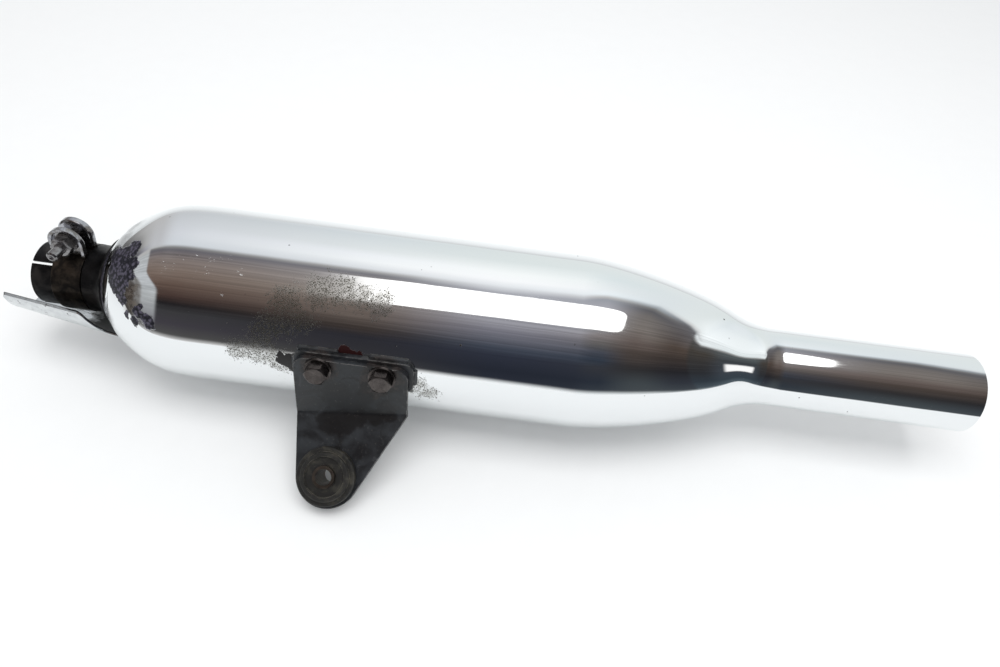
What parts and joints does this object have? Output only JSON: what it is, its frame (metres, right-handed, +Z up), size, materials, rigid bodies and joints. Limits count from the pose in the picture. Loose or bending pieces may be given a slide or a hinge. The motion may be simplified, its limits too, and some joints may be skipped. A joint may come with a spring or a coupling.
{
  "type": "motorcycle exhaust muffler",
  "caption": "Chromed torpedo-shaped motorcycle muffler with a slotted inlet and clamp, bolted hanger bracket with a rubber bush, and a straight tail pipe.",
  "frame": {"origin": "on the muffler axis, in the plane of the inlet mouth", "axes": "+X along the axis to the tail, +Z up as it lies on a bench resting on the shell and the rubber bush, hanger bracket on the -Y side"},
  "size_m": [0.56, 0.1565, 0.1016],
  "materials": {
    "polished_chrome": "polished, stained and pitted",
    "dark_steel": "heat darkened, sooty",
    "clamp_steel": "worn plating",
    "black_paint": "satin, worn",
    "bolt_steel": "dull, brown",
    "bush_rubber": "matt, dusty",
    "sleeve_steel": "dull",
    "inner_steel": "aluminised, heat stained",
    "packing": "matted fibre"
  },
  "bodies": {
    "muffler": {"front_dome": "polished_chrome", "body_shell": "polished_chrome", "rear_cone": "polished_chrome", "tail_pipe": "polished_chrome", "tail_end_ring": "inner_steel", "inlet_stub": "dark_steel", "neck_collar": "dark_steel", "neck_weld": "dark_steel", "shield_tongue": "polished_chrome", "mounting_stay": "black_paint", "stay_welds": "black_paint", "threaded_bosses": "bolt_steel", "hanger_bracket": "black_paint", "hanger_washers": "bolt_steel", "hanger_bolts": "bolt_steel", "bush_rubber": "bush_rubber", "inner_liner": "inner_steel", "packing_wool": "packing", "front_baffle": "inner_steel", "middle_baffle": "inner_steel", "rear_baffle": "inner_steel", "inlet_diffuser": "inner_steel", "transfer_tubes": "inner_steel", "return_tubes": "inner_steel", "outlet_tube": "inner_steel"},
    "clamp": {"clamp_band": "clamp_steel", "clamp_washer": "clamp_steel"},
    "clamp_screw": {"clamp_bolt": "clamp_steel"},
    "clamp_nut_body": {"clamp_nut": "clamp_steel"},
    "sleeve": {"bush_sleeve": "sleeve_steel"}
  },
  "joints": [
    {"name": "clamp_turn", "type": "hinge", "parent": "muffler", "child": "clamp", "pos_m": [0.02075, 0, 0], "axis": [1, 0, 0], "range_deg": [-136, 41]},
    {"name": "clamp_screw_turn", "type": "hinge", "parent": "clamp", "child": "clamp_screw", "pos_m": [0.02075, 0.00414, 0.02769], "axis": [0, 0.989, -0.1478], "range_deg": [0, 1080]},
    {"name": "clamp_nut_travel", "type": "slide", "parent": "clamp", "child": "clamp_nut_body", "axis": [0, -0.989, 0.1478], "range_m": [0, 0.0031]},
    {"name": "bush_sleeve_turn", "type": "hinge", "parent": "muffler", "child": "sleeve", "pos_m": [0.18487, -0.08928, -0.03534], "axis": [-0.0886, -0.5606, 0.8233], "continuous": true}
  ],
  "couplings": [
    {"joint": "clamp_nut_travel", "follows": "clamp_screw_turn", "m_per_rad": 0.00015915}
  ]
}
